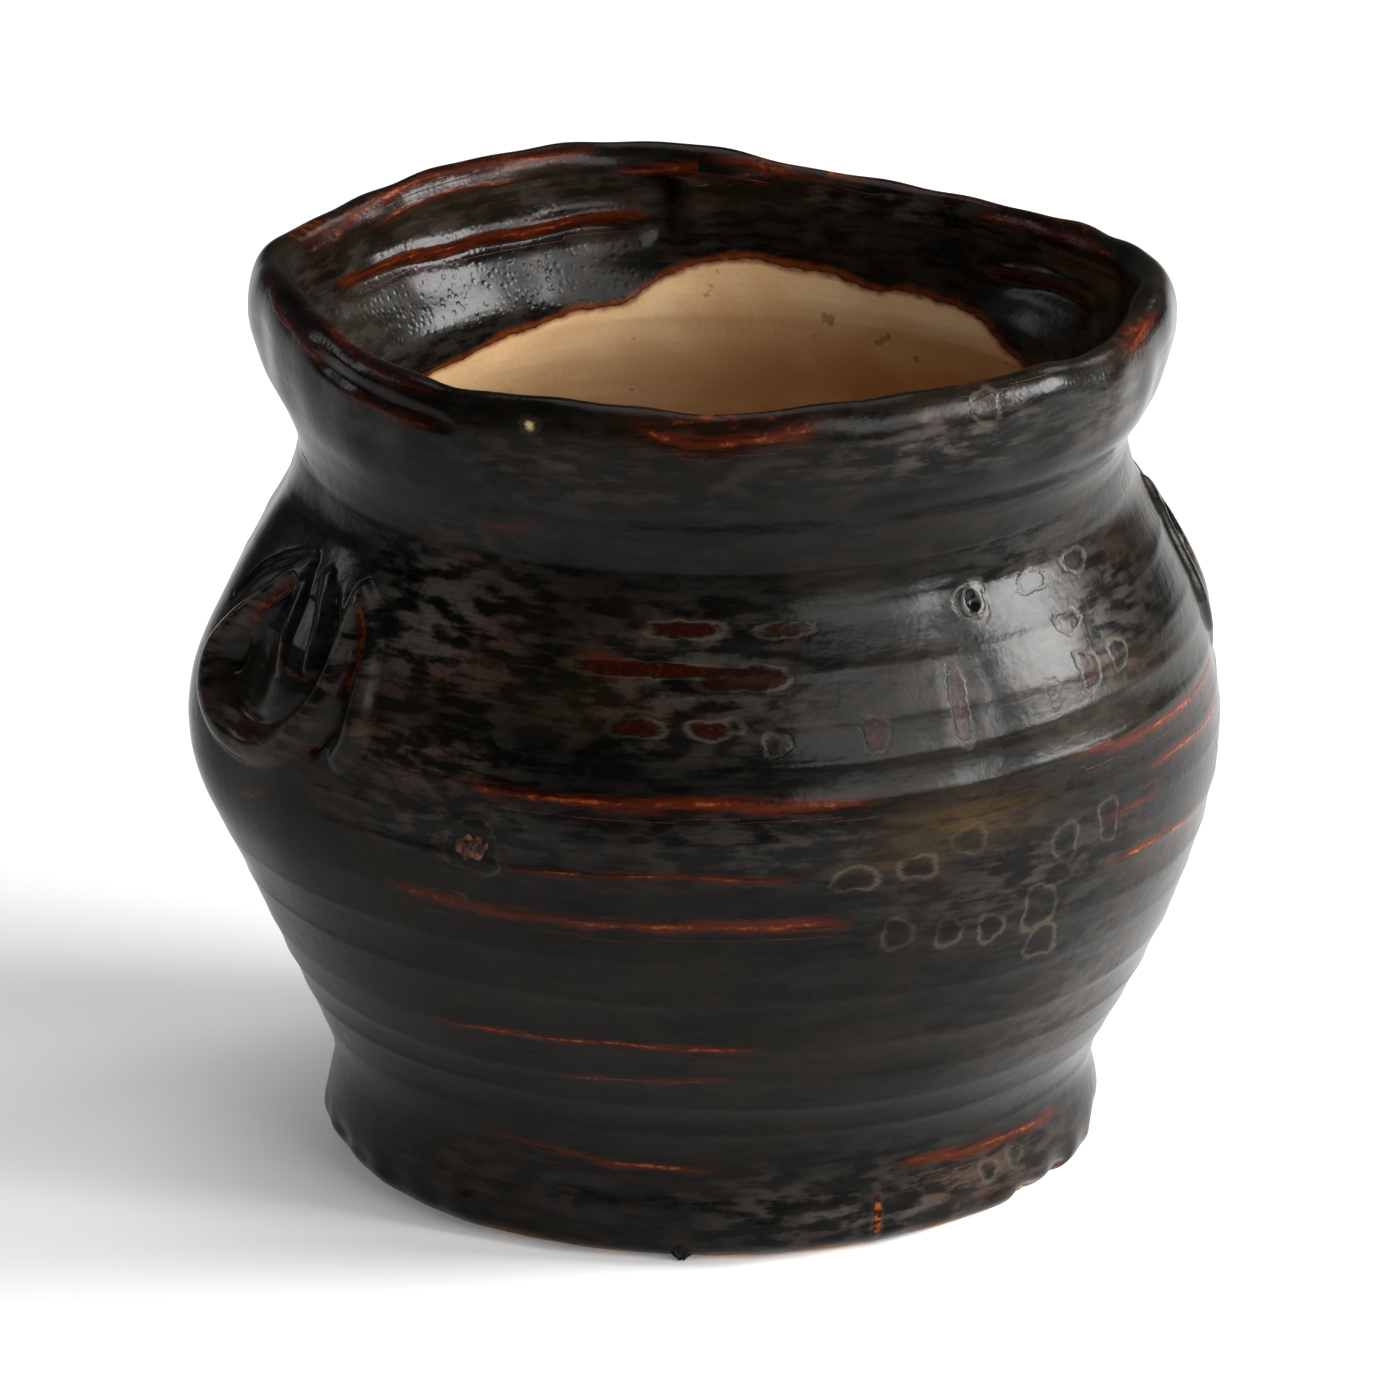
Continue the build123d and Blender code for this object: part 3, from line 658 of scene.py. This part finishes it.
# Colours as they are written, linear
GLAZE_BLACK, GLAZE_OLIVE, GLAZE_GREY = (0.002, 0.0017, 0.0013), (0.0065, 0.0052, 0.002), (0.007, 0.0065, 0.0058)
# The bloom colours serve the glaze's pale bloom and also a painted highlight along each lug's loop
BLOOM_AND_HIGHLIGHT, BLOOM_AND_HIGHLIGHT_PINK, HALO = (0.066, 0.058, 0.048), (0.078, 0.046, 0.035), (0.05, 0.042, 0.028)
RUST_DARK, RUST_RED, RUST_BRIGHT = (0.012, 0.0022, 0.001), (0.05, 0.0075, 0.0018), (0.21, 0.045, 0.008)
CLAY_PALE, CLAY_WARM, CLAY_RUST = (0.62, 0.43, 0.24), (0.5, 0.3, 0.14), (0.26, 0.09, 0.025)
GLAZE_HONEY = (0.034, 0.019, 0.0045)
CRUMB_HOLLOWS, CRUMB_CLAY, CRUMB_PALE = (0.012, 0.007, 0.005), (0.12, 0.05, 0.024), (0.26, 0.13, 0.07)
SPECULAR, GLAZE_ROUGHNESS, CLAY_ROUGHNESS, CRUMB_ROUGHNESS = 0.095, (0.19, 0.27), 0.78, (0.3, 0.55)
# Relief in mm: the glaze's skin, grain, turning marks, strokes, sunken outlines, raised rust and pimples
SKIN, GRAIN, TURNING, STROKES, SUNK, RAISED, PIMPLE = 0.035, 0.006, 0.03, 0.03, -0.03, 0.06, 0.028
GLAZE_THICKNESS, SAND, WHEEL_MARKS, CRUMB_LUMPS, CRUMB_GRIT = 0.3, 0.07, 0.12, 0.35, 0.12
FLOOR_COLOUR, FLOOR_LIFT, FLOOR_HALF = (0.84, 0.84, 0.84), 0.14, 3.0


class Value:
    """A node's output, which can stand in plain formulas."""

    def __init__(self, nodes, socket):
        self.nodes, self.socket = nodes, socket

    def __add__(self, other):
        return self.nodes.math("ADD", self, other)

    def __sub__(self, number):
        return self + -number

    def __mul__(self, other):
        return self.nodes.math("MULTIPLY", self, other)

    def __abs__(self):
        return self.nodes.math("ABSOLUTE", self)

    def step(self, low, high, bottom=0.0, top=1.0):
        """A soft step from bottom to top, while this value goes from low to high."""
        inputs = {"Value": self, "From Min": low, "From Max": high, "To Min": bottom, "To Max": top}
        return self.nodes.make("ShaderNodeMapRange", inputs, "Result", interpolation_type="SMOOTHSTEP")

    def fall(self, low, high):
        """A soft step down, from 1 to 0."""
        return self.step(low, high, 1.0, 0.0)


class Nodes:
    """The nodes of one material, under short names."""

    def __init__(self, name):
        self.material = bpy.data.materials.new(name)
        self.material.use_nodes = True
        self.tree = self.material.node_tree
        self.tree.nodes.clear()
        self.output = self.tree.nodes.new("ShaderNodeOutputMaterial")
        self.place = self.make("ShaderNodeTexCoord", {}, "Object")

    def make(self, kind, inputs, output=0, **settings):
        """A new node with its settings and inputs, as the value of one of its outputs."""
        node = self.tree.nodes.new(kind)
        for key, setting in settings.items():
            setattr(node, key, setting)
        for key, value in inputs.items():
            self.put(node.inputs[key], value)
        return Value(self, node.outputs[output])

    def put(self, socket, value):
        """Links a socket, or sets a plain value or colour."""
        if isinstance(value, Value):
            self.tree.links.new(value.socket, socket)
        else:
            socket.default_value = (*value, 1.0) if socket.type == "RGBA" else value

    def math(self, operation, *values):
        return self.make("ShaderNodeMath", dict(enumerate(values)), operation=operation)

    def most(self, a, b):
        return self.math("MAXIMUM", a, b)

    def field(self, name):
        """One of the mesh's own values."""
        return self.make("ShaderNodeAttribute", {}, "Fac", attribute_name=name)

    def noise(self, across, upright, detail, roughness, distortion, seed):
        """Noise with features of a size in mm across and upright."""
        scale = (1 / (across * MM), 1 / (across * MM), 1 / (upright * MM))
        shift = (seed, seed * 1.7, seed * 0.6)
        place = self.make("ShaderNodeMapping", {"Vector": self.place, "Scale": scale, "Location": shift})
        inputs = {"Vector": place, "Scale": 1.0, "Detail": detail, "Roughness": roughness, "Distortion": distortion}
        return self.make("ShaderNodeTexNoise", inputs, "Fac")

    def cells(self, size):
        """Distance from the nearest of many scattered points, in their own spacing."""
        place = self.make("ShaderNodeMapping", {"Vector": self.place, "Scale": (1 / (size * MM),) * 3})
        return self.make("ShaderNodeTexVoronoi", {"Vector": place, "Scale": 1.0}, "Distance")

    def blend(self, share, first, second):
        """A number between two."""
        return self.make("ShaderNodeMix", {0: share, 2: first, 3: second}, data_type="FLOAT")

    def mix(self, share, first, second):
        """A colour between two."""
        return self.make("ShaderNodeMix", {0: share, 6: first, 7: second}, 2, data_type="RGBA")

    def shade(self, colour, roughness, relief):
        """The finished surface, with its relief in mm."""
        normal = self.make("ShaderNodeBump", {"Strength": 1.0, "Distance": MM, "Height": relief})
        inputs = {"Base Color": colour, "Roughness": roughness, "Normal": normal, "Specular IOR Level": SPECULAR}
        self.put(self.output.inputs["Surface"], self.make("ShaderNodeBsdfPrincipled", inputs))
        return self.material


def glaze_layers(n):
    """Colour, roughness and relief of the glaze from the mesh's own values and noise."""
    blotch = n.noise(26, 15, 4, 0.55, 0.4, 1.3)
    tone = n.noise(14, 5, 5, 0.6, 0.3, 5.1)
    streak = n.noise(8, 1.0, 4, 0.6, 0.2, 9.7)
    broken = n.noise(2.4, 0.8, 3, 0.65, 0.4, 3.3)
    grain = n.noise(0.7, 0.5, 2, 0.6, 0.0, 6.1)
    brick = n.noise(3.6, 1.5, 2, 0.4, 0.0, 7.7)
    colour = n.mix(blotch.step(0.42, 0.68), GLAZE_BLACK, GLAZE_OLIVE)
    colour = n.mix(tone.step(0.45, 0.72) * 0.7, colour, GLAZE_GREY)
    # pale bloom: a broken smear, and along each lug's loop a painted highlight; then the honey-coloured patches
    smear = (streak * 0.42 + (brick * 0.46 + grain * 0.12)).step(0.44, 0.58)
    bloom_and_highlight_share = smear * broken.step(0.3, 0.5, 0.5, 1.0) * tone.step(0.3, 0.5, 0.35, 1.0)
    bloom_and_highlight_share *= n.field("bloom_and_crest_highlight") * 0.9 + 0.04
    colour = n.mix(bloom_and_highlight_share, colour, n.mix(blotch.step(0.44, 0.58), BLOOM_AND_HIGHLIGHT, BLOOM_AND_HIGHLIGHT_PINK))
    honey = n.field("honey") * (streak * 0.5 + broken * 0.5).step(0.36, 0.6, 0.25, 1.0)
    colour = n.mix(honey, colour, GLAZE_HONEY)
    # marks: a soft pale outline, and inside it glaze, dark rust, bright rust or bare clay
    mark = n.field("mark_at") + ((broken - 0.5) * 1.2 + (grain - 0.5) * 0.5)
    kind = n.field("mark_kind")
    outline = abs(mark - 0.25).fall(0.0, 0.48)
    core = mark.fall(-0.45, 0.05) * kind.step(0.3, 0.9)
    colour = n.mix(mark.step(-0.6, -0.1, 0.6, 0.0) * 0.9, colour, GLAZE_BLACK)
    colour = n.mix(outline * (tone * 0.6 + brick * 0.4).step(0.43, 0.6, 0.16, 0.7), colour, HALO)
    hot = kind.step(1.1, 1.8) * (broken + grain * 0.4).step(0.62, 0.84)
    colour = n.mix(core, colour, n.mix(hot, n.mix(grain.step(0.5, 0.85), RUST_DARK, RUST_RED), RUST_BRIGHT))
    colour = n.mix(core * kind.step(2.4, 2.8), colour, CLAY_PALE)
    # lines: dark red glaze with a bright broken core along the crest
    line, gain = abs(n.field("line_at")), n.field("line_gain")
    ragged = line + (broken - 0.5) * 1.7
    colour = n.mix(ragged.fall(0.6, 1.7) * gain * 0.95, colour, n.mix(streak.step(0.4, 0.62), RUST_DARK, RUST_RED))
    middle = ragged.fall(0.1, 0.8) * gain
    colour = n.mix(middle * 0.75, colour, RUST_RED)
    fine = (line + (broken - 0.5) * 1.3).fall(0.0, 0.4) * gain.step(0.35, 0.8)
    fine *= n.noise(5.5, 4, 3, 0.6, 0.0, 2.2).step(0.46, 0.6)
    colour = n.mix(fine, colour, n.mix(grain.step(0.36, 0.6), RUST_RED, RUST_BRIGHT))
    # worn places: rust that breaks through the glaze
    wear = n.field("wear")
    worn = (wear + (broken * 0.8 + streak * 0.5)).step(0.95, 1.45)
    colour = n.mix(wear.step(0.05, 0.7) * 0.85, colour, RUST_DARK)
    spot = n.noise(1.5, 1.0, 3, 0.6, 0.0, 8.1)
    colour = n.mix(worn, colour, n.mix(spot.step(0.45, 0.7), RUST_RED, RUST_BRIGHT))
    rusty = n.most(middle, worn)
    rough = blotch.step(0.3, 0.7, *GLAZE_ROUGHNESS) + rusty * 0.1
    rough += (bloom_and_highlight_share * 0.07 + outline * 0.06) + (streak - 0.5) * 0.06
    relief = n.noise(1.5, 1.1, 2, 0.5, 0.0, 4.4) * SKIN + grain * GRAIN
    relief += n.noise(12, 1.6, 2, 0.5, 0.0, 8.8) * TURNING + n.noise(1.8, 7, 2, 0.5, 0.0, 0.7) * STROKES
    relief += outline * SUNK + rusty * (spot * RAISED)
    relief += n.cells(0.95).fall(0.1, 0.5) * n.field("pimples") * PIMPLE
    return colour, rough, relief


def clay_layers(n):
    """Colour and relief of the bare fired clay."""
    wheel = n.noise(30, 1.6, 3, 0.55, 0.0, 7.9)
    colour = n.mix(n.noise(22, 14, 3, 0.5, 0.3, 2.7).step(0.35, 0.65), CLAY_WARM, CLAY_PALE)
    colour = n.mix(wheel.step(0.5, 0.7) * 0.25, colour, CLAY_WARM)
    colour = n.mix(n.noise(2.6, 2.2, 2, 0.5, 0.0, 3.8).step(0.68, 0.74) * 0.6, colour, CLAY_RUST)
    return colour, n.noise(0.7, 0.7, 3, 0.7, 0.0, 1.9) * SAND + wheel * WHEEL_MARKS


def pot_material():
    """Iron glaze, and bare clay past the glaze's edge with a rusty line between them."""
    n = Nodes("iron_glaze_and_clay")
    colour, rough, relief = glaze_layers(n)
    clay, clay_relief = clay_layers(n)
    edge = n.field("glaze_edge") + (n.noise(3.2, 2.4, 4, 0.6, 0.3, 5.9) - 0.5) * 1.6
    glazed = edge.step(-0.12, 0.12)
    fringe = edge.step(-0.9, -0.05) * edge.fall(0.15, 1.1)
    clay = n.mix(edge.step(-2.4, -0.2, 0.0, 0.55), clay, CLAY_WARM)
    colour = n.mix(glazed, clay, colour)
    colour = n.mix(fringe * 0.85, colour, n.mix(n.noise(1.4, 1.0, 3, 0.6, 0.0, 6.6), RUST_DARK, RUST_BRIGHT))
    relief = glazed * (relief + GLAZE_THICKNESS) + glazed.fall(0.0, 1.0) * clay_relief
    return n.shade(colour, n.blend(glazed, CLAY_ROUGHNESS, rough), relief)


def crumb_material():
    """Rough clay, darker in its hollows."""
    n = Nodes("fired_clay_crumb")
    lump, grit = n.noise(1.6, 1.4, 4, 0.65, 0.4, 1.1), n.noise(0.4, 0.4, 3, 0.7, 0.0, 2.4)
    colour = n.mix(lump.step(0.42, 0.62), CRUMB_HOLLOWS, CRUMB_CLAY)
    colour = n.mix(grit.step(0.58, 0.72) * 0.5, colour, CRUMB_PALE)
    return n.shade(colour, grit.step(0.3, 0.7, *CRUMB_ROUGHNESS), lump * CRUMB_LUMPS + grit * CRUMB_GRIT)


def build_floor():
    """A plain pale floor, lifted to white where the camera or a reflection sees it."""
    n = Nodes("pale_floor")
    rays = ("Is Camera Ray", "Is Glossy Ray", "Is Transmission Ray")
    camera, glossy, through = (n.make("ShaderNodeLightPath", {}, ray) for ray in rays)
    glow = n.make("ShaderNodeEmission", {"Strength": n.most(camera, n.most(glossy, through)) * FLOOR_LIFT})
    diffuse = n.make("ShaderNodeBsdfDiffuse", {"Color": FLOOR_COLOUR})
    n.put(n.output.inputs["Surface"], n.make("ShaderNodeAddShader", {0: diffuse, 1: glow}))
    mesh = bpy.data.meshes.new("floor")
    corners = [(x * FLOOR_HALF, y * FLOOR_HALF, 0) for x, y in ((-1, -1), (1, -1), (1, 1), (-1, 1))]
    mesh.from_pydata(corners, [], [(0, 1, 2, 3)])
    mesh.materials.append(n.material)
    floor = bpy.data.objects.new("floor", mesh)
    bpy.context.collection.objects.link(floor)


# Lamps: name, azimuth from the camera, elevation, distance, width and height in metres, watts, shape
LAMPS = [
    ("window_left_pane", 61, 20, 1.1, 0.13, 0.4, 7.4),
    ("window_right_pane", 89, 20, 1.1, 0.42, 0.4, 22.0),
    ("window_haze", 38, 22, 1.2, 0.8, 0.52, 7.0, "ELLIPSE"),
    ("overhead", -166, 76, 1.5, 1.1, 1.1, 9.0),
    ("back_right", 130, 38, 1.1, 0.25, 0.3, 1.8),
    ("back_left", -112, 24, 1.0, 0.12, 0.4, 0.7),
]
LAMP_TARGET = np.array([0.0, 0.0, 0.07])
WORLD_LIGHT = 0.07
CAMERA_ELEVATION, CAMERA_DISTANCE, CAMERA_LENS = 20.0, 1.6, 341.4
CAMERA_TARGET = np.array([-0.00133, 0.00057, 0.0544])


def direction(front, elevation):
    """The unit vector towards an azimuth from the camera and an elevation."""
    turn, lift = math.radians(front + CAMERA_AZIMUTH), math.radians(elevation)
    return np.array([math.sin(turn) * math.cos(lift), -math.cos(turn) * math.cos(lift), math.sin(lift)])


def aim(thing, place, target):
    """Puts a lamp or camera at a place and turns it to a target."""
    thing.location = place
    way = mathutils.Vector(target) - mathutils.Vector(place)
    thing.rotation_euler = way.to_track_quat("-Z", "Y").to_euler()


def add_lamp(name, front, elevation, distance, width, height, watts, shape="RECTANGLE"):
    """A softbox aimed at the middle of the pot."""
    lamp = bpy.data.lights.new(name, "AREA")
    lamp.shape, lamp.size, lamp.size_y, lamp.energy = shape, width, height, watts
    thing = bpy.data.objects.new(name, lamp)
    bpy.context.collection.objects.link(thing)
    aim(thing, direction(front, elevation) * distance + LAMP_TARGET, LAMP_TARGET)


def build_light():
    """Even dim light from all round, and the softboxes."""
    world = bpy.data.worlds.new("studio")
    world.use_nodes = True
    background = world.node_tree.nodes["Background"]
    background.inputs["Color"].default_value = (1.0, 1.0, 1.0, 1.0)
    background.inputs["Strength"].default_value = WORLD_LIGHT
    bpy.context.scene.world = world
    for lamp in LAMPS:
        add_lamp(*lamp)


def build_camera():
    """The photograph's view."""
    camera = bpy.data.cameras.new("camera")
    camera.lens, camera.sensor_width, camera.clip_end = CAMERA_LENS, 36.0, 20.0
    thing = bpy.data.objects.new("camera", camera)
    bpy.context.collection.objects.link(thing)
    aim(thing, direction(0, CAMERA_ELEVATION) * CAMERA_DISTANCE + CAMERA_TARGET, CAMERA_TARGET)
    bpy.context.scene.camera = thing


def dress(piece, material, slot, *nodes):
    """Gives a piece its finish, its body and the CAD nodes that it stands for."""
    piece.data.materials.append(material)
    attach(piece, "root")
    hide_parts(*nodes)


glaze = pot_material()
for piece in build_body():
    dress(piece, glaze, "glazed_body", "pot_body")
dress(build_lug("left_lug", LEFT_MIDDLE, 1, 1.0), glaze, "glazed_lug", "left_lug_pad", "left_lug_coil")
dress(build_lug("right_lug", RIGHT_MIDDLE, -1, RIGHT_FLAT), glaze, "glazed_lug", "right_lug_pad", "right_lug_coil")
crumb = pebble("clay_crumb_lump", azimuth=-50.7, radius=59.6, level=55.5, half_sizes=(2.5, 1.7, 1.7), seed_turn=40)
dress(crumb, crumb_material(), "bare_clay", "clay_crumb")
drop = pebble("glaze_drop_bead", azimuth=-27.6, radius=45.0, level=1.9, half_sizes=(2.0, 1.9, 1.1), seed_turn=110,
              tail=-0.5)
dress(drop, glaze, "glaze_run", "glaze_drop")
build_floor()
build_light()
build_camera()

scene = bpy.context.scene
scene.view_settings.view_transform = "Standard"
